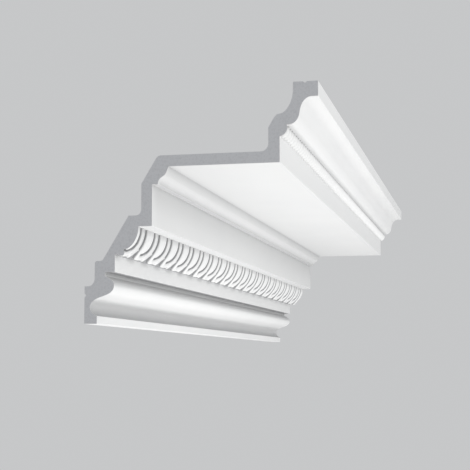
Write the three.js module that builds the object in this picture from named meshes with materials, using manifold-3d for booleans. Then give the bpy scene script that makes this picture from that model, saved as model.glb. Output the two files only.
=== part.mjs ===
// A length of classical cornice moulding for the corner between a wall and a ceiling.
// It is one shell of rigid foam, moulded in one piece and open behind, with an egg-and-dart band
// below the frieze and a row of beads under the crown. Both ends are cut square.
// Millimetres. X runs along the length, the room is on the -Y side and the wall on the +Y side.
// The origin is at mid-length on the flat band that is glued to the wall.
import * as THREE from "three";
import { mergeVertices } from "three/addons/utils/BufferGeometryUtils.js";
import Module from "manifold-3d";

const wasm = await Module();
wasm.setup();

// Overall sizes. One repeat holds one egg, one dart and four beads.
const height = 244;
const projection = 246;
const repeat = 50;
const repeats = 21;
const length = repeat * repeats;
const datum = 14; // height of the origin above the bottom edge
const overrun = 12; // how far everything is made too long before the ends are cut

// Where the front of the profile stands: out from the wall, and up from the bottom edge
const out = {
  base: 14, scotia: 6.3, nose: 32.2, quirk: 22.3, fascia: 32.8, bandAxis: 23.9,
  frieze: 72.3, bedFoot: 78.4, bedMiddle: 84.6, bedTop: 90, corona: 206.3,
  crownFoot: 216, crownWaist: 226.8, crownCove: 240,
};
const up = {
  baseTop: 8.2, scotia: 17, apron: 27.9, nose: 39.6, quirk: 49.5, fasciaFoot: 53.3, ledge: 70,
  shelf: 100, friezeTop: 143.3, bedMiddle: 152, soffit: 161.5, crownFoot: 200,
  crownWaist: 212, crownFillet: 228,
};

// Where the back of the shell stands
const back = {
  ceilingEdge: 220, crownKnee: 207, crownRoot: 194.3, soffit: 173.6, frieze: 60.4,
  bandTop: 111.7, lowerFace: 10.8, wallEdge: 39,
};

// Glue grooves in the two faces that touch the building
const groove = { width: 4.4, depth: 1.7, wallUp: 29.4, ceilingOut: 232.6 };

// Egg-and-dart relief, on a ground that is an arc about bandAxis at the shelf's height.
// Places on the band are a distance along it and a distance down its arc.
const band = { ground: 30.5, arc: 34.1 };
const egg = { phase: 2.6, halfWidth: 9.6, straight: 16, stretch: 1.43, rise: 3.7, full: 8, fall: 0.016 };
const rim = { inner: 12.2, crest: 15.75, outer: 19.4, rise: 3.4 };
const shield = { floor: 0.25, sink: 1.6, tail: 3 }; // the egg and its rim as one pad on the ground
const dart = { radius: 1.9, tip: 36.5 };

// Beads: ellipsoids half sunk in the corona's face and cut off by the crown above them
const bead = { pitch: repeat / 4, axisOut: 204.5, axisUp: 196.8, along: 5.7, out: 9.8, up: 8.9 };

// A point of the profile as the part's Y and Z
const spot = (outward, upward) => [-outward, upward - datum];

function profileShape() {
  const shape = new THREE.Shape();
  const line = (a, b) => shape.lineTo(...spot(a, b));
  const curve = (c1, c2, end) => shape.bezierCurveTo(...spot(...c1), ...spot(...c2), ...spot(...end));

  // foot: base fillet, scotia, round nose and the quirk under the fascia
  shape.moveTo(...spot(0, 0));
  line(out.base, 0);
  line(out.base, up.baseTop);
  curve([10.4, 9.8], [out.scotia, 12.6], [out.scotia, up.scotia]);
  curve([out.scotia, 22.6], [12, 25.9], [18.7, up.apron]);
  curve([26, 30.2], [out.nose, 32.6], [out.nose, up.nose]);
  curve([out.nose, 44.6], [27.5, 46.6], [out.quirk, up.quirk]);
  line(out.quirk, up.fasciaFoot);
  line(out.fascia, up.fasciaFoot);

  // fascia, then the ground of the egg band as an arc
  const foot = Math.acos((out.fascia - out.bandAxis) / band.ground);
  const steps = 6;
  for (let i = 0; i <= steps; i++) {
    const angle = foot * (1 - i / steps);
    line(out.bandAxis + band.ground * Math.cos(angle), up.shelf - band.ground * Math.sin(angle));
  }

  // frieze, bed moulding, soffit and corona
  line(out.frieze, up.shelf);
  line(out.frieze, up.friezeTop);
  line(out.bedFoot, up.friezeTop);
  curve([out.bedFoot, 148.2], [81.4, 150], [out.bedMiddle, up.bedMiddle]);
  curve([87.6, 153.9], [88.4, 159.4], [out.bedTop, up.soffit]);
  line(out.corona, up.soffit);
  line(out.corona, up.crownFoot);

  // crown: round below, hollow above, and the top fillet
  line(out.crownFoot, up.crownFoot);
  curve([221.8, up.crownFoot], [226.2, 205.6], [out.crownWaist, up.crownWaist]);
  curve([228.2, 221.6], [232.4, up.crownFillet], [out.crownCove, up.crownFillet]);
  line(projection, up.crownFillet);
  line(projection, height);

  // ceiling face with its glue groove
  line(groove.ceilingOut + groove.width / 2, height);
  line(groove.ceilingOut, height - groove.depth);
  line(groove.ceilingOut - groove.width / 2, height);
  line(back.ceilingEdge, height);

  // back of the shell, from the ceiling down to the wall
  line(back.ceilingEdge, 236);
  curve([back.ceilingEdge, 225], [214, 213.2], [back.crownKnee, 211.8]);
  line(203.7, 211.3);
  line(200.4, 208.2);
  line(back.crownRoot, 197.8);
  line(back.crownRoot, 181.5);
  curve([back.crownRoot, 177], [191, back.soffit], [186.5, back.soffit]);
  line(81.5, back.soffit);
  curve([78.8, back.soffit], [77, 172.4], [75.5, 169.8]);
  line(back.frieze, 144.4);
  line(back.frieze, 117.9);
  curve([back.frieze, 114], [58, back.bandTop], [54, back.bandTop]);
  line(46.9, back.bandTop);
  line(21.1, 68.8);
  curve([19.6, 66.2], [18.6, 65.2], [16.5, 65.2]);
  line(12.6, 65.2);
  line(back.lowerFace, 63.6);
  line(back.lowerFace, 47.2);
  curve([back.lowerFace, 42], [7.6, back.wallEdge], [3, back.wallEdge]);
  line(0, back.wallEdge);

  // wall face with its glue groove
  line(0, groove.wallUp + groove.width / 2);
  line(groove.depth, groove.wallUp);
  line(0, groove.wallUp - groove.width / 2);
  shape.closePath();
  return shape;
}

// A point of the egg band: along the length, down the arc from the shelf, and above the ground
function bandPoint(along, down, rise) {
  const angle = down / band.arc;
  const radius = band.ground + rise;
  const [y, z] = spot(out.bandAxis + radius * Math.cos(angle), up.shelf - radius * Math.sin(angle));
  return new THREE.Vector3(along, y, z);
}

// A ridge of round section along a path on the band; sides is the section's number of corners
function ridge(path, radius, sides, steps) {
  const section = new THREE.Shape();
  for (let i = 0; i < sides; i++) {
    const angle = (i / sides) * 2 * Math.PI;
    const corner = [radius * Math.cos(angle), radius * Math.sin(angle)];
    if (i === 0) section.moveTo(...corner);
    else section.lineTo(...corner);
  }
  section.closePath();
  const extrudePath = new THREE.CatmullRomCurve3(path, false, "centripetal");
  return new THREE.ExtrudeGeometry(section, { steps, extrudePath });
}

// One egg with the raised rim that runs down one side of it, round below and up the other.
// It is a pad: its top is the relief, on lines that run around the egg, and its flat back is sunk
// in the ground. Each line of the relief is a distance from the egg's spine and a height.
function shieldGeometry(centre) {
  const lines = [
    [0, egg.rise], [egg.halfWidth * 0.7, egg.rise * 0.72], [egg.halfWidth, shield.floor],
    [rim.inner, shield.floor], [rim.crest, rim.rise], [rim.outer, -shield.floor],
  ];
  const arcs = 6;
  const stations = [[-1, 0, -shield.tail], [-1, 0, egg.straight]];
  for (let i = 1; i < arcs; i++) {
    const angle = (i / arcs) * Math.PI;
    stations.push([-Math.cos(angle), Math.sin(angle) * egg.stretch, egg.straight]);
  }
  stations.push([1, 0, egg.straight], [1, 0, -shield.tail]);

  const place = ([side, below, foot], distance, rise) => {
    const down = foot + below * distance;
    const onEgg = distance <= egg.halfWidth ? 1 - egg.fall * Math.max(0, down - egg.full) : 1;
    return bandPoint(centre + side * distance, down, rise > 0 ? rise * onEgg : rise);
  };
  const corners = [];
  const faces = [];
  for (const station of stations) {
    for (const [distance, rise] of lines) corners.push(place(station, distance, rise));
    for (const [distance] of lines) corners.push(place(station, distance, -shield.sink));
  }
  const row = 2 * lines.length;
  const quad = (a, b, c, d) => faces.push(a, b, c, a, c, d);
  for (let s = 0; s + 1 < stations.length; s++) {
    const here = s * row;
    const next = here + row;
    for (let i = 0; i + 1 < lines.length; i++) {
      quad(here + i, here + i + 1, next + i + 1, next + i);
      const under = i + lines.length;
      quad(here + under, next + under, next + under + 1, here + under + 1);
    }
    const edge = lines.length - 1;
    quad(here + edge, here + row - 1, next + row - 1, next + edge);
  }
  // the two upper ends, inside the solid above the shelf
  for (let i = 0; i + 1 < lines.length; i++) {
    const under = i + lines.length;
    quad(i, under, under + 1, i + 1);
    const last = (stations.length - 1) * row;
    quad(last + i, last + i + 1, last + under + 1, last + under);
  }
  const geometry = new THREE.BufferGeometry().setFromPoints(corners);
  geometry.setIndex(faces);
  return geometry;
}

// The dart between two rims: an upright ridge down the arc of the band
function dartGeometry(centre) {
  const path = [-shield.tail, 10, 20, 30, dart.tip].map((down) => bandPoint(centre, down, 0));
  return ridge(path, dart.radius, 4, 4);
}

function beadGeometry(along) {
  const geometry = new THREE.SphereGeometry(1, 8, 4);
  geometry.rotateZ(Math.PI / 2);
  geometry.scale(bead.along, bead.out, bead.up);
  const [y, z] = spot(bead.axisOut, bead.axisUp);
  return geometry.translate(along, y, z);
}

function boxGeometry(low, high) {
  const size = high.map((value, i) => value - low[i]);
  const middle = high.map((value, i) => (value + low[i]) / 2);
  return new THREE.BoxGeometry(...size).translate(...middle);
}

// Between three.js geometry and a closed solid that can be joined and cut
function toSolid(geometry) {
  const merged = mergeVertices(stripped(geometry), 1e-4);
  return new wasm.Manifold(new wasm.Mesh({
    numProp: 3,
    vertProperties: new Float32Array(merged.attributes.position.array),
    triVerts: new Uint32Array(merged.index.array),
  }));
}

function stripped(geometry) {
  const copy = geometry.clone();
  copy.deleteAttribute("normal");
  copy.deleteAttribute("uv");
  return copy;
}

function toGeometry(solid) {
  const mesh = solid.getMesh();
  const geometry = new THREE.BufferGeometry();
  geometry.setAttribute("position", new THREE.BufferAttribute(new Float32Array(mesh.vertProperties), 3));
  geometry.setIndex(new THREE.BufferAttribute(new Uint32Array(mesh.triVerts), 1));
  geometry.computeVertexNormals();
  return geometry;
}

function moulding() {
  const start = -length / 2;
  const profile = new THREE.ExtrudeGeometry(profileShape(), {
    depth: length + 2 * overrun, bevelEnabled: false, curveSegments: 4,
  });
  // the outline is drawn in Y and Z, so its depth is turned to run along X
  const turn = new THREE.Matrix4().set(0, 0, 1, start - overrun, 1, 0, 0, 0, 0, 1, 0, 0, 0, 0, 0, 1);
  let body = toSolid(profile.applyMatrix4(turn));

  // relief of the egg band, trimmed along the ledge over the fascia
  const relief = [];
  for (let i = -1; i <= repeats; i++) {
    const centre = start + egg.phase + i * repeat;
    relief.push(shieldGeometry(centre), dartGeometry(centre + repeat / 2));
  }
  const [ledgeY, ledgeZ] = spot(out.fascia, up.ledge);
  const underLedge = boxGeometry([-length, ledgeY - 40, ledgeZ - 30], [length, ledgeY, ledgeZ]);
  const carved = wasm.Manifold.union(relief.map(toSolid)).subtract(toSolid(underLedge));

  // the row of beads, one of them centred on each end's cut
  const beads = [];
  for (let along = start; along <= length / 2 + 0.01; along += bead.pitch) beads.push(beadGeometry(along));

  body = wasm.Manifold.union([body, carved, ...beads.map(toSolid)]);
  const room = projection + 50;
  const squareEnds = boxGeometry([start, -room, -room], [-start, room, height + room]);
  return toGeometry(body.intersect(toSolid(squareEnds)));
}

const primedFoam = new THREE.MeshStandardMaterial({ color: 0xf1f1f0, roughness: 0.55, metalness: 0 });
const corniceLength = new THREE.Mesh(moulding(), primedFoam);
corniceLength.name = "cornice_length";

const cornice = new THREE.Group();
cornice.add(corniceLength);
export default cornice;
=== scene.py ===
import math

import bmesh
import bpy
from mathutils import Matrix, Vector


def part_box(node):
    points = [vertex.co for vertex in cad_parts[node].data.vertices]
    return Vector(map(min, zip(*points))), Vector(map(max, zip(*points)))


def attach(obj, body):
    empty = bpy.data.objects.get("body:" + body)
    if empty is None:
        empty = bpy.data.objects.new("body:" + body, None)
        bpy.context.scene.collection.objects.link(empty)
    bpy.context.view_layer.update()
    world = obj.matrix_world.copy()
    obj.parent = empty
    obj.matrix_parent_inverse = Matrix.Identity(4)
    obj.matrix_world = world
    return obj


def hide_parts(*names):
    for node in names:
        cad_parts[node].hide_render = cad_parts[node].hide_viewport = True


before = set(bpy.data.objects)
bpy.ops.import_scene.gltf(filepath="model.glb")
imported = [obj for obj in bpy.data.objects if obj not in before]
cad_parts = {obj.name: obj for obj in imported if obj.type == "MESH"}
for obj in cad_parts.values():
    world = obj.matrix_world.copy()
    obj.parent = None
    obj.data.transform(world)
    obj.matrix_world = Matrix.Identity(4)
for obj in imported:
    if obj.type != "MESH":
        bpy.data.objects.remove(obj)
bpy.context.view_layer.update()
cadLow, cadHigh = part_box("cornice_length")
print("frame loaded")

# The moulding's own measures are in millimetres: along its length, out from the wall, and up
# from its bottom edge. The frame gives the scale and the place.
section = {
    "height": 244.0,
    # a name that ends in Pulls holds the two places that bend the curve up to that name's point
    "base": 14.0, "baseTop": 8.2,
    "scotia": 6.3, "scotiaUp": 17.0, "scotiaPulls": ((10.4, 9.8), (6.3, 12.6)),
    "apron": 18.7, "apronUp": 27.9, "apronPulls": ((6.3, 22.6), (12.0, 25.9)),
    "nose": 32.2, "noseUp": 39.6, "nosePulls": ((26.0, 30.2), (32.2, 32.6)),
    "quirk": 22.3, "quirkUp": 49.5, "quirkPulls": ((32.2, 44.6), (27.5, 46.6)),
    "fascia": 32.8, "fasciaFoot": 53.3, "ledge": 70.0,
    "shelf": 100.0,
    "frieze": 72.3, "friezeTop": 143.3,
    "bedFoot": 78.4,
    "bedMiddle": 84.6, "bedMiddleUp": 152.0, "bedMiddlePulls": ((78.4, 148.2), (81.4, 150.0)),
    "bedTop": 90.0, "bedTopPulls": ((87.6, 153.9), (88.4, 159.4)),
    "soffit": 161.5, "corona": 206.3,
    "crownFoot": 216.0, "crownUnder": 200.0,
    "crownWaist": 226.8, "crownWaistUp": 212.0, "crownWaistPulls": ((221.8, 200.0), (226.2, 205.6)),
    "crownCove": 240.0, "crownFillet": 228.0, "crownCovePulls": ((228.2, 221.6), (232.4, 228.0)),
    "projection": 246.0,
    "skirt": 2.0,          # how far a strip reaches past its corner onto the next flat face
    "beadSkirt": 1.4,      # and how far the crown's strip reaches towards the beads
    "curveSteps": 12, "bedSteps": 9,
}
mm = (cadHigh.z - cadLow.z) / section["height"]

# how the moulded corners are softened, and the angle, in degrees, from which an edge stays sharp
arris = {"cut": 0.6, "hold": 0.3, "steps": 3, "sharpFrom": 50}


class Pad:
    # Collects points and faces. Points in one place become one, and faces left without an
    # area by that are dropped.
    def __init__(self):
        self.points = []
        self.index = {}
        self.faces = []
        self.shade = []
        self.behind = []

    def point(self, along, out, up):
        key = (round(along, 3), round(out, 3), round(up, 3))
        if key not in self.index:
            self.index[key] = len(self.points)
            self.points.append((along, out, up))
        return self.index[key]

    def face(self, corners, shade=None, behind=False):
        ids = [self.point(*corner) for corner in corners]
        shade = shade or [0.0] * len(ids)
        kept = [k for k in range(len(ids)) if ids[k] != ids[k - 1]]
        if len(kept) > 2:
            self.faces.append([ids[k] for k in kept])
            self.shade.append([shade[k] for k in kept])
            self.behind.append(behind)

    def mesh(self, name):
        made = bpy.data.meshes.new(name)
        places = [(a * mm, -o * mm, u * mm + cadLow.z) for a, o, u in self.points]
        made.from_pydata(places, [], self.faces)
        # each corner's share of painted shade is kept for the finish
        shade = made.attributes.new("paintedShade", "FLOAT", "CORNER")
        shade.data.foreach_set("value", [value for face in self.shade for value in face])
        behind = made.attributes.new("behind", "BOOLEAN", "FACE")
        behind.data.foreach_set("value", self.behind)
        return made


class Outline:
    # A run of the section's outline, as places out from the wall and up from the bottom edge
    def __init__(self, out, up):
        self.points = [Vector((out, up))]
        self.softAt = set()

    def line(self, out, up, soft=False):
        self.points.append(Vector((out, up)))
        if soft:
            self.softAt.add(len(self.points) - 1)
        return self

    def curve(self, pulls, out, up, steps=section["curveSteps"]):
        corners = [self.points[-1]] + [Vector(place) for place in (*pulls, (out, up))]
        for i in range(1, steps + 1):
            t = i / steps
            weights = [(1 - t) ** 3, 3 * t * (1 - t) ** 2, 3 * t * t * (1 - t), t ** 3]
            self.points.append(sum((c * w for c, w in zip(corners, weights)), Vector((0, 0))))
        return self

    def finished(self):
        made = []
        for i, corner in enumerate(self.points):
            if i not in self.softAt:
                made.append(corner)
                continue
            back = (self.points[i - 1] - corner).normalized()
            on = (self.points[i + 1] - corner).normalized()
            reach = arris["cut"] + arris["hold"]
            made.append(corner + back * reach)
            for k in range(arris["steps"] + 1):
                t = k / arris["steps"]
                made.append(corner + back * arris["cut"] * (1 - t) ** 2 + on * arris["cut"] * t * t)
            made.append(corner + on * reach)
        return [tuple(point) for point in made]


# Painted shade, as a share from 0 to 1 of a dark grey, darkens the hollows, inner corners and undersides
# where shade falls. A name that ends in Reach or Half is a distance, one in Up a height, and one in Fade a
# power that shapes the fall.
paintedShadeShares = {
    "scotia": 0.95, "scotiaReach": 14.2, "scotiaFade": 1.5,
    "ogee": 0.15, "ogeeUp": 26.3, "ogeeHalf": 4.6,
    "noseTop": 0.7, "noseUp": 45.3, "noseHalf": 7.7, "noseFade": 1.5,
    "quirk": 0.2, "quirkTop": 0.36, "under": 0.58, "underFrom": 1.0, "shelf": 0.16,
    # in the two corners by the bed moulding: painted shade as a line and a haze, each a share and its reach
    "friezeLine": (0.18, 1.0), "friezeHaze": (0.25, 40.0), "friezeSteps": 6,
    "soffitLine": (0.35, 3.0), "soffitHaze": (0.25, 100.0), "soffitSteps": 8, "hazeFade": 1.6,
    "bed": 0.2, "bedUnder": 0.6, "bedFoot": (0.14, 1.5), "bedTop": (0.42, 2.0),
    "crown": 0.42, "crownReach": 3.6,
    # how close to a face, to a level and to the shelf a point still counts as on it
    "nearFace": 0.1, "nearLevel": 0.05, "nearShelf": 0.2,
}


def footRun():
    s = section
    run = Outline(0, 0).line(s["base"], 0, soft=True).line(s["base"], s["baseTop"], soft=True)
    for name in ("scotia", "apron", "nose", "quirk"):
        run.curve(s[name + "Pulls"], s[name], s[name + "Up"])
    run.line(s["quirk"], s["fasciaFoot"]).line(s["quirk"] + paintedShadeShares["underFrom"], s["fasciaFoot"])
    run.line(s["fascia"], s["fasciaFoot"], soft=True)
    return run.line(s["fascia"], s["fasciaFoot"] + s["skirt"]).finished()


def cornerSteps(face):
    # distances from an inner corner, close together beside it, at which its tint is given
    steps, reach = paintedShadeShares[face + "Steps"], paintedShadeShares[face + "Haze"][1]
    return [reach * (k / steps) ** 2 for k in range(steps + 1)]


def friezeRun():
    s = section
    run = Outline(s["frieze"] - s["skirt"], s["shelf"]).line(s["frieze"], s["shelf"], soft=True)
    for away in cornerSteps("frieze")[::-1]:
        run.line(s["frieze"], s["friezeTop"] - away)
    run.line(s["bedFoot"], s["friezeTop"], soft=True)
    run.curve(s["bedMiddlePulls"], s["bedMiddle"], s["bedMiddleUp"], s["bedSteps"])
    run.curve(s["bedTopPulls"], s["bedTop"], s["soffit"], s["bedSteps"])
    for away in cornerSteps("soffit")[1:]:
        run.line(s["bedTop"] + away, s["soffit"])
    run.line(s["corona"], s["soffit"], soft=True)
    return run.line(s["corona"], s["soffit"] + s["skirt"]).finished()


def crownRun():
    s = section
    run = Outline(s["crownFoot"] - s["beadSkirt"], s["crownUnder"])
    run.line(s["crownFoot"], s["crownUnder"], soft=True)
    run.curve(s["crownWaistPulls"], s["crownWaist"], s["crownWaistUp"])
    run.curve(s["crownCovePulls"], s["crownCove"], s["crownFillet"])
    run.line(s["projection"], s["crownFillet"], soft=True)
    run.line(s["projection"], s["height"], soft=True)
    return run.line(s["projection"] - s["skirt"], s["height"]).finished()


glueGroove = {"width": 4.4, "depth": 1.7, "wallUp": 29.4, "ceilingOut": 232.6}
shell = {
    "ceilingFlat": 220.0, "wallFlat": 39.0,
    # Behind the shell, from the ceiling to the wall: the points of a straight stretch, then a
    # curve as its two pulls, the place where it ends, and its steps.
    "stretches": (
        (((220.0, 236.0),),
         (((220.0, 225.0), (214.0, 213.2)), 207.0, 211.8, 12)),
        (((203.7, 211.3), (200.4, 208.2), (194.3, 197.8), (194.3, 181.5)),
         (((194.3, 177.0), (191.0, 173.6)), 186.5, 173.6, 7)),
        (((81.5, 173.6),),
         (((78.8, 173.6), (77.0, 172.4)), 75.5, 169.8, 7)),
        (((60.4, 144.4), (60.4, 117.9)),
         (((60.4, 114.0), (58.0, 111.7)), 54.0, 111.7, 7)),
        (((46.9, 111.7), (21.1, 68.8)),
         (((19.6, 66.2), (18.6, 65.2)), 16.5, 65.2, 6)),
        (((12.6, 65.2), (10.8, 63.6), (10.8, 47.2)),
         (((10.8, 42.0), (7.6, 39.0)), 3.0, 39.0, 7)),
    ),
}


def backRun():
    # from the crown's top edge over the ceiling face, behind the shell and down the wall face
    s, g = section, glueGroove
    half = g["width"] / 2
    run = Outline(s["projection"] - s["skirt"], s["height"])
    run.line(g["ceilingOut"] + half, s["height"]).line(g["ceilingOut"], s["height"] - g["depth"])
    run.line(g["ceilingOut"] - half, s["height"]).line(shell["ceilingFlat"], s["height"], soft=True)
    for straight, curve in shell["stretches"]:
        for place in straight:
            run.line(*place)
        run.curve(*curve)
    run.line(0, shell["wallFlat"]).line(0, g["wallUp"] + half).line(g["depth"], g["wallUp"])
    return run.line(0, g["wallUp"] - half).line(0, 0).finished()


def roundTop(x, power=0.5):
    # 1 in the middle and 0 from a distance of 1, round as a dome between at the usual power
    return max(0.0, 1 - x * x) ** power


def fading(away, line):
    return line[0] * math.exp(-away / line[1])


# painted shade in an inner corner: a dark line beside it and a wider haze
def inCorner(away, line, haze):
    return fading(away, line) + haze[0] * max(0.0, 1 - away / haze[1]) ** paintedShadeShares["hazeFade"]


def footPaintedShade(out, up):
    # Painted shade in the scotia, on top of the nose, in the quirk and under the fascia.
    s, thin = section, paintedShadeShares
    if up <= s["baseTop"] or out > s["fascia"] - thin["nearFace"]:
        return 0.0
    if up > s["quirkUp"] - thin["nearLevel"]:
        if out > s["quirk"] + thin["nearFace"]:
            return thin["under"]
        climb = (up - s["quirkUp"]) / (s["fasciaFoot"] - s["quirkUp"])
        return thin["quirk"] + (thin["quirkTop"] - thin["quirk"]) * climb
    climb = (up - s["baseTop"]) / thin["scotiaReach"]
    scotia = thin["scotia"] * (1 - climb ** thin["scotiaFade"])
    ogee = thin["ogee"] * roundTop((up - thin["ogeeUp"]) / thin["ogeeHalf"], 1)
    nose = thin["noseTop"] * roundTop((up - thin["noseUp"]) / thin["noseHalf"], thin["noseFade"])
    return max(0.0, scotia, ogee, nose)


def friezePaintedShade(out, up):
    # Painted shade on the shelf, on the bed moulding, and in the two inner corners beside that.
    s, thin = section, paintedShadeShares
    if up < s["shelf"] + thin["nearShelf"]:
        return thin["shelf"]
    if out < s["frieze"] + thin["nearFace"]:
        return inCorner(s["friezeTop"] - up, thin["friezeLine"], thin["friezeHaze"])
    if up < s["friezeTop"] + thin["nearLevel"]:
        return thin["bedUnder"]
    if up > s["soffit"] - thin["nearFace"]:
        return inCorner(out - s["bedTop"], thin["soffitLine"], thin["soffitHaze"])
    foot = fading(up - s["friezeTop"], thin["bedFoot"])
    return thin["bed"] + foot + fading(s["soffit"] - up, thin["bedTop"])


def crownPaintedShade(out, up):
    # Painted shade beside the beads, and less of it from there over the start of the crown's round.
    past = max(0.0, out - section["crownFoot"]) / paintedShadeShares["crownReach"]
    return paintedShadeShares["crown"] * max(0.0, 1 - past)


repeatWork = {
    "repeat": 50.0,        # one egg, one dart and four beads
    "eggFromCut": 2.6,     # from the near cut to the first egg's centre
    "weld": 0.02,
}
halfRepeat = repeatWork["repeat"] / 2


def sweep(pad, run, behind=False, paintedShade=None):
    # one repeat of a plain stretch of the outline, as a strip for each of its steps, with painted shade at
    # its corners where a function for that is given
    for here, there in zip(run, run[1:]):
        corners = [(-halfRepeat, *here), (halfRepeat, *here), (halfRepeat, *there), (-halfRepeat, *there)]
        shade = [min(1.0, paintedShade(*place)) for place in (here, here, there, there)] if paintedShade else None
        pad.face(corners, shade, behind)


# Places on the band are measured along it from the egg's centre, and down its quarter round
# from the shelf.
eggBand = {
    "axisOut": 23.9, "ground": 30.5, "arc": 34.1,
    "eggHalf": 9.6, "eggRise": 3.7, "eggFull": 8.0, "eggFall": 0.016,
    "straight": 16.0, "stretch": 1.43,
    # the rim's inner edge, crest and outer edge, beside the egg and under its foot
    "rimSide": (12.3, 15.3, 18.6), "rimFoot": (11.2, 14.0, 16.6), "rimRise": 4.1,
    "channel": 1.0,        # how deep the groove around the egg goes under the band's ground
    "dartHalf": 2.2, "dartRise": 2.5, "dartFoot": 38.5, "dartPower": 0.85,
    "barbTop": (17.3, 25.0), "barbFoot": (25.0, 38.0),
    "barbHalf": 1.1, "barbRise": 1.2, "barbPower": 0.6,
    # the heights under which shade is painted on, and how it fades above them and at the top
    "eggShade": 0.3, "innerShade": 2.4, "innerFootShade": 0.9, "outerShade": 2.25, "dartShade": 0.3,
    "shadeFade": 0.55, "topShade": 0.3, "topReach": 6.4,
    # the rays of samples, and where they stand as shares of the egg, the groove around it and
    # the rim's two sides
    "straightRows": 5, "sideRays": 25, "footRays": 19,
    "eggSamples": (0, 0.17, 0.33, 0.5, 0.65, 0.78, 0.87, 0.94, 0.98, 1),
    "grooveSamples": (0.06, 0.3, 0.7, 0.94, 1),
    "innerSamples": (0.04, 0.13, 0.27, 0.46, 0.7, 1),
    "outerSamples": (0.3, 0.55, 0.76, 0.9, 0.97, 1),
    # beyond the rim: their number, the least step between them, and the least gap to the end
    "tailSteps": 9, "tailStep": 0.35, "tailGap": 0.15,
}


def toSegment(along, down, start, end):
    a, b = Vector(start), Vector(end)
    span = b - a
    share = max(0.0, min(1.0, (Vector((along, down)) - a).dot(span) / span.length_squared))
    return (Vector((along, down)) - a - span * share).length


def ringAt(along, down):
    # how far a place is from the egg's spine, and its share of the way round to under the foot
    below = max(0.0, down - eggBand["straight"]) / eggBand["stretch"]
    ring = math.hypot(along, below)
    return ring, (below / ring) ** 2 if ring else 0.0


def rimAt(turned):
    # the rim's three edges, which draw in a little under the egg's foot
    return [side + (foot - side) * turned for side, foot in zip(eggBand["rimSide"], eggBand["rimFoot"])]


def reliefRise(along, down):
    # height over the band's ground: egg, rim, dart and the barbs that join the dart to the rims
    b = eggBand
    along = abs(along)
    ring, turned = ringAt(along, down)
    inner, top, outer = rimAt(turned)
    crest = b["eggRise"] * (1 - b["eggFall"] * max(0.0, down - b["eggFull"]))
    egg = crest * roundTop(ring / b["eggHalf"])
    edge = inner if ring < top else outer
    rim = b["rimRise"] * roundTop((ring - top) / (edge - top))
    channelMiddle = (b["eggHalf"] + inner) / 2
    channel = b["channel"] * roundTop((ring - channelMiddle) / (inner - channelMiddle))
    dartAway = math.hypot(halfRepeat - along, max(0.0, down - b["dartFoot"])) / b["dartHalf"]
    dart = b["dartRise"] * max(0.0, 1 - dartAway) ** b["dartPower"]
    barbAway = toSegment(along, down, b["barbTop"], b["barbFoot"]) / b["barbHalf"]
    barb = b["barbRise"] * roundTop(barbAway, b["barbPower"])
    return max(egg, rim, dart, barb) - channel


def ledgeRise(down):
    # the height at which the relief meets the flat ledge over the fascia
    sine = max(1e-6, math.sin(down / eggBand["arc"]))
    return (section["shelf"] - section["ledge"]) / sine - eggBand["ground"]


def bandPlace(along, down):
    angle = down / eggBand["arc"]
    radius = eggBand["ground"] + min(reliefRise(along, down), ledgeRise(down))
    return along, eggBand["axisOut"] + radius * math.cos(angle), section["shelf"] - radius * math.sin(angle)


def solve(low, high, test, halvings=40):
    # the place between low and high where test stops being true
    for _ in range(halvings):
        middle = (low + high) / 2
        low, high = (middle, high) if test(middle) else (low, middle)
    return (low + high) / 2


def bandRays():
    # Lines that run out from the egg's spine: level beside its straight part, then turning
    # around its round foot. Each is its start, its direction and whether it ends at the dart.
    b = eggBand
    foot = b["arc"] * math.acos((section["fascia"] - b["axisOut"]) / b["ground"])
    cornerTurn = math.atan2((foot - b["straight"]) / b["stretch"], halfRepeat)
    footTurn = math.pi / 2 - cornerTurn
    rays = [(b["straight"] * i / b["straightRows"], 0.0, True) for i in range(b["straightRows"])]
    for i in range(b["sideRays"] + 1):
        rays.append((b["straight"], cornerTurn * i / b["sideRays"], True))
    for i in range(1, b["footRays"] + 1):
        rays.append((b["straight"], cornerTurn + footTurn * i / b["footRays"], False))
    return rays


def between(low, high, shares):
    return [low + (high - low) * share for share in shares]


def raySamples(start, turn, toDart):
    # places along one ray, close together where the relief bends
    b = eggBand
    inner, top, outer = rimAt(math.sin(turn) ** 2)
    steps = b["tailSteps"]

    def where(d):
        return d * math.cos(turn), start + d * b["stretch"] * math.sin(turn)

    def overLedge(d):
        return reliefRise(*where(d)) < ledgeRise(where(d)[1])

    spots = between(0, b["eggHalf"], b["eggSamples"]) + between(b["eggHalf"], inner, b["grooveSamples"])
    spots += between(inner, top, b["innerSamples"]) + between(top, outer, b["outerSamples"])
    if toDart:
        end = halfRepeat / math.cos(turn)
        edge = (halfRepeat - b["dartHalf"]) / math.cos(turn)
        spots += between(outer, edge, [i / (steps - 2) for i in range(1, steps - 1)])
        spots += [(edge + end) / 2, end]
    else:
        fascia = section["fascia"]
        end = solve(outer - 1, 2 * halfRepeat, lambda d: bandPlace(*where(d))[1] > fascia)
        step = max(b["tailStep"], (end - outer) / steps)
        spots = [min(d, end) for d in spots]
        tail = [outer + step * i for i in range(1, steps)]
        spots += [d if d < end - b["tailGap"] else end for d in tail] + [end]
    # the sample nearest to the ledge's edge is moved onto it
    for i in range(1, len(spots) - 2):
        before = overLedge(spots[i])
        if before != overLedge(spots[i + 1]):
            edge = solve(spots[i], spots[i + 1], lambda d: overLedge(d) == before)
            nearer = i if edge - spots[i] < spots[i + 1] - edge else i + 1
            spots[nearer] = edge
    return [where(d) for d in spots]


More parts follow.
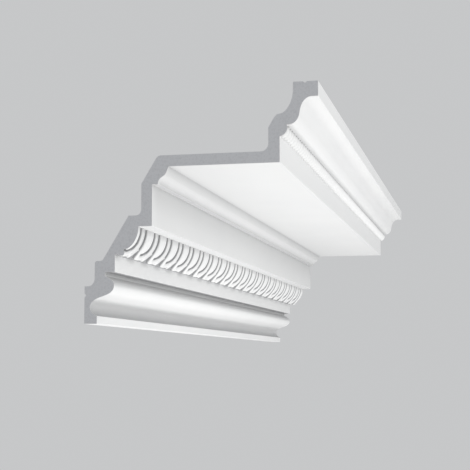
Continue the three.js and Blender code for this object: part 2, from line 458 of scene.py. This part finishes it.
def bandPaintedShade(along, down):
    # painted shade: 1 on the floors and the lower walls between the raised work, 0 on its tops, and some at
    # the band's top
    b = eggBand
    ring, turned = ringAt(along, down)
    crest, outer = rimAt(turned)[1:]
    if ring < b["eggHalf"]:
        level = b["eggShade"]
    elif ring < crest:
        level = b["innerShade"] + (b["innerFootShade"] - b["innerShade"]) * turned
    elif ring < outer:
        level = b["outerShade"]
    else:
        level = b["dartShade"]
    low = max(0.0, min(1.0, 1 + (level - reliefRise(along, down)) / b["shadeFade"]))
    return max(low, b["topShade"] * (1 - down / b["topReach"]))


def eggTile(pad):
    # one egg with its rim and the half darts at both sides; returns its top and bottom edges
    rays = bandRays()
    samples = [raySamples(*ray) for ray in rays]
    for side in (-1, 1):
        for here, there in zip(samples, samples[1:]):
            for k in range(len(here) - 1):
                ring = [here[k], here[k + 1], there[k + 1], there[k]]
                ring = [(side * a, d) for a, d in ring][::side]
                # painted shade in the relief's floors, grooves and lower walls
                shade = [bandPaintedShade(abs(a), d) for a, d in ring]
                pad.face([bandPlace(a, d) for a, d in ring], shade)
    top = samples[0]
    foot = [row[-1] for row, ray in zip(samples, rays) if not ray[2]]
    corner = samples[eggBand["straightRows"] + eggBand["sideRays"]][-1]
    foot.insert(0, corner)
    topEdge = [bandPlace(-a, d) for a, d in top[::-1]] + [bandPlace(a, d) for a, d in top[1:]]
    footEdge = [bandPlace(-a, d) for a, d in foot] + [bandPlace(a, d) for a, d in foot[-2::-1]]
    return topEdge, footEdge


beadRow = {
    "pitch": 12.5, "axisOut": 204.5, "axisUp": 196.8, "along": 5.75, "out": 9.8, "up": 8.9,
    "rows": 9, "columns": 12, "edgeShade": 0.4, "edgeSteps": 2,
}


def beadPlaces(centre):
    # a grid of places on one bead, in rows from its lowest point up to the crown's underside
    b = beadRow
    sunk = (section["corona"] - b["axisOut"]) / b["out"]
    first = math.asin(sunk)
    last = math.acos((b["axisUp"] - section["crownUnder"]) / b["up"])
    rows = []
    for i in range(b["rows"] + 1):
        tilt = first + (last - first) * i / b["rows"]
        widest = math.acos(min(1.0, sunk / math.sin(tilt)))
        row = []
        for k in range(b["columns"] + 1):
            turn = widest * (2 * k / b["columns"] - 1)
            along = centre + b["along"] * math.sin(tilt) * math.sin(turn)
            out = b["axisOut"] + b["out"] * math.sin(tilt) * math.cos(turn)
            row.append((along, out, b["axisUp"] - b["up"] * math.cos(tilt)))
        rows.append(row)
    return rows


def beadPaintedShade(row, column):
    # painted shade where a bead meets the faces around it
    b = beadRow
    away = min(row, b["rows"] - row, column, b["columns"] - column) / b["edgeSteps"]
    return b["edgeShade"] * max(0.0, 1 - away)


def beadCourse(pad, below, above):
    # The beads of one repeat with the flat faces around them, from the strip below to the strip
    # above. The near cut goes through the middle of a bead.
    corona, under = section["corona"], section["crownUnder"]
    pitch = beadRow["pitch"]
    beads = round(repeatWork["repeat"] / pitch)
    centres = [(k - 1) * pitch - repeatWork["eggFromCut"] for k in range(beads)]
    left = centres[0] - pitch / 2
    right = centres[-1] + pitch / 2
    face = [(-halfRepeat, *below), (halfRepeat, *below), (right, corona, under)]
    underside = [(-halfRepeat, *above), (halfRepeat, *above), (right, corona, under)]
    for centre in centres[::-1]:
        rows = beadPlaces(centre)
        for i, (here, there) in enumerate(zip(rows, rows[1:])):
            for k in range(beadRow["columns"]):
                # painted shade around each bead's edges
                shade = [beadPaintedShade(*step) for step in ((i, k), (i, k + 1), (i + 1, k + 1), (i + 1, k))]
                pad.face([here[k], here[k + 1], there[k + 1], there[k]], shade)
        face += [row[-1] for row in rows[::-1]] + [row[0] for row in rows[1:]]
        underside += rows[-1][::-1]
    pad.face(face + [(left, corona, under)])
    underside.append((left, corona, under))
    # painted shade over the crown's underside between the beads
    pad.face(underside[::-1], [paintedShadeShares["crown"]] * len(underside))


def repeatMesh():
    pad = Pad()
    foot, frieze, crown = footRun(), friezeRun(), crownRun()
    # painted shade along the profile's hollows, inner corners and undersides
    sweep(pad, foot, paintedShade=footPaintedShade)
    sweep(pad, frieze, paintedShade=friezePaintedShade)
    sweep(pad, crown, paintedShade=crownPaintedShade)
    sweep(pad, backRun(), behind=True)
    topEdge, footEdge = eggTile(pad)
    pad.face([(-halfRepeat, *foot[-1]), (halfRepeat, *foot[-1])] + footEdge[::-1])
    # painted shade over the shelf strip
    shelf = [(halfRepeat, *frieze[0]), (-halfRepeat, *frieze[0])] + topEdge
    pad.face(shelf, [paintedShadeShares["shelf"]] * len(shelf))
    beadCourse(pad, frieze[-1], crown[0])
    mesh = pad.mesh("oneRepeat")
    work = bmesh.new()
    work.from_mesh(mesh)
    bmesh.ops.recalc_face_normals(work, faces=work.faces)
    bmesh.ops.triangulate(work, faces=[f for f in work.faces if len(f.verts) > 4])
    work.to_mesh(mesh)
    work.free()
    return mesh


class Wire:
    # an output socket that takes part in plain arithmetic
    def __init__(self, web, socket):
        self.web = web
        self.socket = socket

    def __add__(self, other):
        return self.web.maths("ADD", self, other)

    def __radd__(self, other):
        return self.web.maths("ADD", other, self)

    def __sub__(self, other):
        return self.web.maths("SUBTRACT", self, other)

    def __rsub__(self, other):
        return self.web.maths("SUBTRACT", other, self)

    def __mul__(self, other):
        return self.web.maths("MULTIPLY", self, other)

    def __rmul__(self, other):
        return self.web.maths("MULTIPLY", other, self)


class Web:
    # a node tree; every node is made by its node method
    def __init__(self, tree):
        self.tree = tree

    def node(self, kind, settings=None, sockets=None, output=0):
        made = self.tree.nodes.new(kind)
        for name, value in (settings or {}).items():
            setattr(made, name, value)
        for name, value in (sockets or {}).items():
            if isinstance(value, Wire):
                self.tree.links.new(value.socket, made.inputs[name])
            else:
                made.inputs[name].default_value = value
        if not made.outputs:
            return made
        return Wire(self, made.outputs[output])

    def maths(self, operation, first, second):
        return self.node("ShaderNodeMath", {"operation": operation}, {0: first, 1: second})

    def blend(self, share, first, second):
        # sockets 6 and 7 take the two colours, and output 2 gives their mixture
        settings = {"data_type": "RGBA", "clamp_factor": True}
        return self.node("ShaderNodeMix", settings, {"Factor": share, 6: first, 7: second}, output=2)

    def noise(self, place, scale, detail=2.0, twist=0.0):
        sockets = {"Vector": place, "Scale": scale, "Detail": detail, "Distortion": twist}
        return self.node("ShaderNodeTexNoise", None, sockets)

    def objectPlace(self):
        return self.node("ShaderNodeTexCoord", output=3)

    def bump(self, finish, height):
        sockets = {"Strength": finish["bump"], "Distance": finish["bumpDepth"], "Height": height}
        return self.node("ShaderNodeBump", None, sockets)


def newFinish(name):
    material = bpy.data.materials.new(name)
    material.use_nodes = True
    material.node_tree.nodes.clear()
    return material, Web(material.node_tree)


def closeFinish(web, colour, roughness, bump=None):
    sockets = {"Base Color": colour, "Roughness": roughness}
    if bump:
        sockets["Normal"] = bump
    shader = web.node("ShaderNodeBsdfPrincipled", None, sockets)
    web.node("ShaderNodeOutputMaterial", None, {"Surface": shader})


# In a finish, a name that ends in Rough or Height is a pattern's part in the roughness or in the
# bump's height, and a colour share starts at a pattern's Low value and rises by its Gain.
primer = {
    # the last of these three colours is painted shade, laid into hollows, inner corners and undersides
    "white": (0.86, 0.86, 0.855, 1), "shaded": (0.80, 0.802, 0.805, 1), "paintedShade": (0.235, 0.238, 0.245, 1),
    "broadScale": 7.0, "broadLow": 0.35, "broadGain": 1.2, "broadRough": 0.06,
    "peelScale": 420.0, "peelRough": 0.1, "peelHeight": 0.7,
    "grainScale": 2300.0, "grainBase": 0.9, "grainGain": 0.2, "grainHeight": 0.3,
    "paintedShadeShare": 0.85, "paintedShadeRough": 0.12,
    "roughness": 0.42, "bump": 0.12, "bumpDepth": 0.0004,
}


def primedWhite():
    # sprayed primer: a faint cloudiness, a fine peel, and painted shade in dark grey in the floors of the
    # relief and the profile's hollows, corners and undersides
    material, web = newFinish("primedWhite")
    p = primer
    place = web.objectPlace()
    broad = web.noise(place, p["broadScale"], detail=3.0)
    peel = web.noise(place, p["peelScale"])
    grain = web.noise(place, p["grainScale"], detail=1.0)
    paintedShade = web.node("ShaderNodeAttribute", {"attribute_name": "paintedShade"}, output=2)
    clouded = web.blend((broad - p["broadLow"]) * p["broadGain"], p["white"], p["shaded"])
    # painted shade: the dark grey mixed in by the corners' shares, broken up a little by the grain
    paintedShadeAmount = paintedShade * p["paintedShadeShare"] * (p["grainBase"] + p["grainGain"] * grain)
    colour = web.blend(paintedShadeAmount, clouded, p["paintedShade"])
    rough = p["roughness"] + p["peelRough"] * peel + p["broadRough"] * broad + p["paintedShadeRough"] * paintedShade
    height = peel * p["peelHeight"] + grain * p["grainHeight"]
    closeFinish(web, colour, rough, web.bump(p, height))
    return material


foam = {
    "grey": (0.66, 0.666, 0.688, 1), "pore": (0.53, 0.535, 0.556, 1),
    "cellScale": 1500.0, "cellHeight": 0.6,
    "poreScale": 525.0, "poreLow": 0.45, "poreGain": 1.6, "poreHeight": 0.4,
    "driftScale": 40.0, "driftLow": 0.5, "driftGain": 0.25, "driftRough": 0.1,
    "roughness": 0.85, "bump": 0.35, "bumpDepth": 0.0003,
}


def cutFoam():
    # the sawn core: fine closed cells, a few of them opened by the saw
    material, web = newFinish("cutFoam")
    f = foam
    place = web.objectPlace()
    cells = web.node("ShaderNodeTexVoronoi", None, {"Vector": place, "Scale": f["cellScale"]})
    pores = web.noise(place, f["poreScale"], detail=1.0)
    drift = web.noise(place, f["driftScale"])
    share = (pores - f["poreLow"]) * f["poreGain"] + (drift - f["driftLow"]) * f["driftGain"]
    colour = web.blend(share, f["grey"], f["pore"])
    height = cells * f["cellHeight"] + pores * f["poreHeight"]
    closeFinish(web, colour, f["roughness"] - f["driftRough"] * drift, web.bump(f, height))
    return material


backSkin = {
    "pale": (0.70, 0.695, 0.67, 1), "dull": (0.60, 0.595, 0.57, 1),
    "flowScale": 9.0, "flowTwist": 1.2, "flowLow": 0.3, "flowGain": 1.6, "flowHeight": 0.5,
    "pitScale": 260.0, "pitBase": 0.8, "pitGain": 0.4, "pitHeight": 0.5, "pitRough": 0.15,
    "roughness": 0.62, "bump": 0.3, "bumpDepth": 0.0006,
}


def bareBack():
    # the unpainted skin that the mould leaves behind the shell, with soft flow marks
    material, web = newFinish("bareBack")
    b = backSkin
    place = web.objectPlace()
    flow = web.noise(place, b["flowScale"], detail=4.0, twist=b["flowTwist"])
    pits = web.noise(place, b["pitScale"])
    share = (flow - b["flowLow"]) * b["flowGain"] * (b["pitBase"] + b["pitGain"] * pits)
    colour = web.blend(share, b["pale"], b["dull"])
    height = flow * b["flowHeight"] + pits * b["pitHeight"]
    closeFinish(web, colour, b["roughness"] + b["pitRough"] * pits, web.bump(b, height))
    return material


def repeatTree():
    # copies one repeat along the length, welds the copies and gives them their finishes
    tree = bpy.data.node_groups.new("repeatAlongLength", "GeometryNodeTree")
    tree.is_modifier = True
    panel = tree.interface
    panel.new_socket("Geometry", in_out="OUTPUT", socket_type="NodeSocketGeometry")
    for name, kind in (("Geometry", "Geometry"), ("Copies", "Int"), ("First centre", "Float"),
                       ("Repeat", "Float"), ("Weld", "Float"), ("Front", "Material"), ("Back", "Material")):
        panel.new_socket(name, in_out="INPUT", socket_type="NodeSocket" + kind)
    web = Web(tree)
    start = tree.nodes.new("NodeGroupInput")
    given = {socket.name: Wire(web, socket) for socket in start.outputs if socket.name}
    first = web.node("ShaderNodeCombineXYZ", None, {"X": given["First centre"]})
    step = web.node("ShaderNodeCombineXYZ", None, {"X": given["Repeat"]})
    line = web.node("GeometryNodeMeshLine", {"mode": "OFFSET"}, {
        "Count": given["Copies"], "Start Location": first, "Offset": step})
    copies = web.node("GeometryNodeInstanceOnPoints", None, {"Points": line, "Instance": given["Geometry"]})
    whole = web.node("GeometryNodeRealizeInstances", None, {"Geometry": copies})
    welded = web.node("GeometryNodeMergeByDistance", None, {"Geometry": whole, "Distance": given["Weld"]})
    front = web.node("GeometryNodeSetMaterial", None, {"Geometry": welded, "Material": given["Front"]})
    behind = web.node("GeometryNodeInputNamedAttribute", {"data_type": "BOOLEAN"}, {"Name": "behind"})
    done = web.node("GeometryNodeSetMaterial", None, {
        "Geometry": front, "Selection": behind, "Material": given["Back"]})
    web.node("NodeGroupOutput", None, {"Geometry": done})
    return tree


def repeated(mesh, front, back):
    holder = bpy.data.objects.new("oneRepeat", mesh)
    bpy.context.scene.collection.objects.link(holder)
    tree = repeatTree()
    modifier = holder.modifiers.new("repeatAlongLength", "NODES")
    modifier.node_group = tree
    copies = round((cadHigh.x - cadLow.x) / mm / repeatWork["repeat"]) + 1
    values = {
        "Copies": copies, "First centre": cadLow.x + repeatWork["eggFromCut"] * mm,
        "Repeat": repeatWork["repeat"] * mm, "Weld": repeatWork["weld"] * mm, "Front": front, "Back": back,
    }
    for item in tree.interface.items_tree:
        if item.in_out == "INPUT" and item.name in values:
            modifier[item.identifier] = values[item.name]
    seen = holder.evaluated_get(bpy.context.evaluated_depsgraph_get())
    made = bpy.data.meshes.new_from_object(seen)
    bpy.data.objects.remove(holder)
    return made


endCut = {
    "skin": 0.3,           # the primer's thickness at a cut
    "near": 0.06,          # vertices closer than this give no direction
    "mitre": 1.6,          # the most that a corner's two directions are stretched to inset it
    "touch": 1e-6,         # in metres, how close to the cut's plane a vertex lies on it
}


def openLoop(work, cut):
    # the open edge left by a cut, as vertices in order
    def onCut(edge):
        return edge.is_boundary and all(abs(v.co.x - cut) < endCut["touch"] for v in edge.verts)

    edges = {edge for edge in work.edges if onCut(edge)}
    first = next(iter(edges)).verts[0]
    loop, last = [first], None
    while True:
        last = next(edge for edge in loop[-1].link_edges if edge in edges and edge is not last)
        there = last.other_vert(loop[-1])
        if there is first:
            return loop
        loop.append(there)


def insetPlaces(loop, width):
    # each vertex moved into the section by the width
    flat = [Vector((v.co.y, v.co.z)) for v in loop]
    area = sum(flat[i - 1].x * flat[i].y - flat[i].x * flat[i - 1].y for i in range(len(flat)))
    hand = 1 if area > 0 else -1
    near = endCut["near"] * mm
    moved = []
    for i, here in enumerate(flat):
        others = flat[i + 1:] + flat[:i]
        before = next(place for place in others[::-1] if (place - here).length > near)
        after = next(place for place in others if (place - here).length > near)
        sides = []
        for way in (here - before, after - here):
            way.normalize()
            sides.append(Vector((-way.y, way.x)) * hand)
        middle = sides[0] + sides[1]
        stretch = 2 / max(2 / endCut["mitre"], middle.length_squared)
        moved.append(here + middle * (stretch * width))
    return moved


def closeEnd(work, cut, skinSlot, foamSlot):
    loop = openLoop(work, cut)
    inner = [work.verts.new((cut, place.x, place.y)) for place in insetPlaces(loop, endCut["skin"] * mm)]
    for i in range(len(loop)):
        ring = work.faces.new([loop[i - 1], loop[i], inner[i], inner[i - 1]])
        ring.material_index = skinSlot
    core = work.faces.new(inner)
    core.material_index = foamSlot
    core.normal_update()
    bmesh.ops.triangulate(work, faces=[core], ngon_method="EAR_CLIP")


def corniceLength(front, cut, back):
    mesh = repeated(repeatMesh(), front, back)
    print("repeats welded:", len(mesh.polygons), "faces")
    mesh.materials.append(cut)
    work = bmesh.new()
    work.from_mesh(mesh)
    for end, out in ((cadLow.x, -1), (cadHigh.x, 1)):
        bmesh.ops.bisect_plane(
            work, geom=work.verts[:] + work.edges[:] + work.faces[:], dist=endCut["touch"],
            plane_co=(end, 0, 0), plane_no=(out, 0, 0), clear_outer=True)
    skinSlot = mesh.materials.find(front.name)
    foamSlot = mesh.materials.find(cut.name)
    for end in (cadLow.x, cadHigh.x):
        closeEnd(work, end, skinSlot, foamSlot)
    bmesh.ops.recalc_face_normals(work, faces=work.faces)
    for face in work.faces:
        face.smooth = True
    print("open edges:", sum(1 for e in work.edges if not e.is_manifold))
    work.to_mesh(mesh)
    work.free()
    mesh.set_sharp_from_angle(angle=math.radians(arris["sharpFrom"]))
    mesh.name = "corniceLength"
    made = bpy.data.objects.new("corniceLength", mesh)
    bpy.context.scene.collection.objects.link(made)
    return made


# The studio's places and sizes are in metres.
studio = {
    "floorDrop": 1.6, "floorSize": 12.0,
    "floor": (0.80, 0.80, 0.795, 1), "floorCloud": (0.768, 0.768, 0.7632, 1),
    "cloudScale": 1.5, "cloudLow": 0.4, "cloudGain": 0.5, "floorRough": 0.8,
    "sky": (0.86, 0.87, 0.88, 1), "skyPower": 0.66,
}
lamps = {
    "under": {"place": (-0.36, -0.27, -1.45), "size": 0.7, "power": 15.0},
    "front": {"place": (-0.7, -2.6, 0.1), "size": 1.6, "power": 9.0},
    "over": {"place": (-0.7, -2.5, 1.25), "size": 1.2, "power": 17.7},
    "rear": {"place": (0.9, 2.3, 1.3), "size": 1.6, "power": 14},
}
# the camera looks as the photograph does; its angles are in degrees
photoView = {
    "place": (-1.67825, -0.41704, -0.05475), "yaw": 12.567, "pitch": 6.25,
    "lens": 89.935, "sensor": 36.0,
}


def floorFinish():
    material, web = newFinish("studioFloor")
    cloud = web.noise(web.objectPlace(), studio["cloudScale"])
    share = (cloud - studio["cloudLow"]) * studio["cloudGain"]
    closeFinish(web, web.blend(share, studio["floor"], studio["floorCloud"]), studio["floorRough"])
    return material


def studioFloor():
    half = studio["floorSize"] / 2
    level = cadLow.z - studio["floorDrop"]
    corners = [(x, y, level) for x, y in ((-half, -half), (half, -half), (half, half), (-half, half))]
    mesh = bpy.data.meshes.new("studioFloor")
    mesh.from_pydata(corners, [], [(0, 1, 2, 3)])
    mesh.materials.append(floorFinish())
    floor = bpy.data.objects.new("studioFloor", mesh)
    bpy.context.scene.collection.objects.link(floor)


def studioLight():
    world = bpy.data.worlds.new("studioSky")
    world.use_nodes = True
    sky = world.node_tree.nodes["Background"]
    sky.inputs["Color"].default_value = studio["sky"]
    sky.inputs["Strength"].default_value = studio["skyPower"]
    bpy.context.scene.world = world
    middle = (cadLow + cadHigh) / 2
    for name, lamp in lamps.items():
        light = bpy.data.lights.new(name, "AREA")
        light.shape = "DISK"
        light.size = lamp["size"]
        light.energy = lamp["power"]
        made = bpy.data.objects.new(name, light)
        made.location = lamp["place"]
        made.rotation_euler = (middle - Vector(lamp["place"])).to_track_quat("-Z", "Y").to_euler()
        made.visible_camera = False
        bpy.context.scene.collection.objects.link(made)


def studioCamera():
    yaw, pitch = (math.radians(photoView[key]) for key in ("yaw", "pitch"))
    ahead = Vector((math.cos(yaw) * math.cos(pitch), math.sin(yaw) * math.cos(pitch), math.sin(pitch)))
    camera = bpy.data.cameras.new("photoView")
    camera.lens = photoView["lens"]
    camera.sensor_width = photoView["sensor"]
    made = bpy.data.objects.new("photoView", camera)
    made.location = photoView["place"]
    made.rotation_euler = ahead.to_track_quat("-Z", "Y").to_euler()
    bpy.context.scene.collection.objects.link(made)
    bpy.context.scene.camera = made


bpy.context.scene.view_settings.view_transform = "Standard"
studioCamera()
studioFloor()
studioLight()
print("studio ready")

cornice = corniceLength(primedWhite(), cutFoam(), bareBack())
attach(cornice, "root")
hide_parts("cornice_length")
print("cornice length made:", len(cornice.data.polygons), "faces")
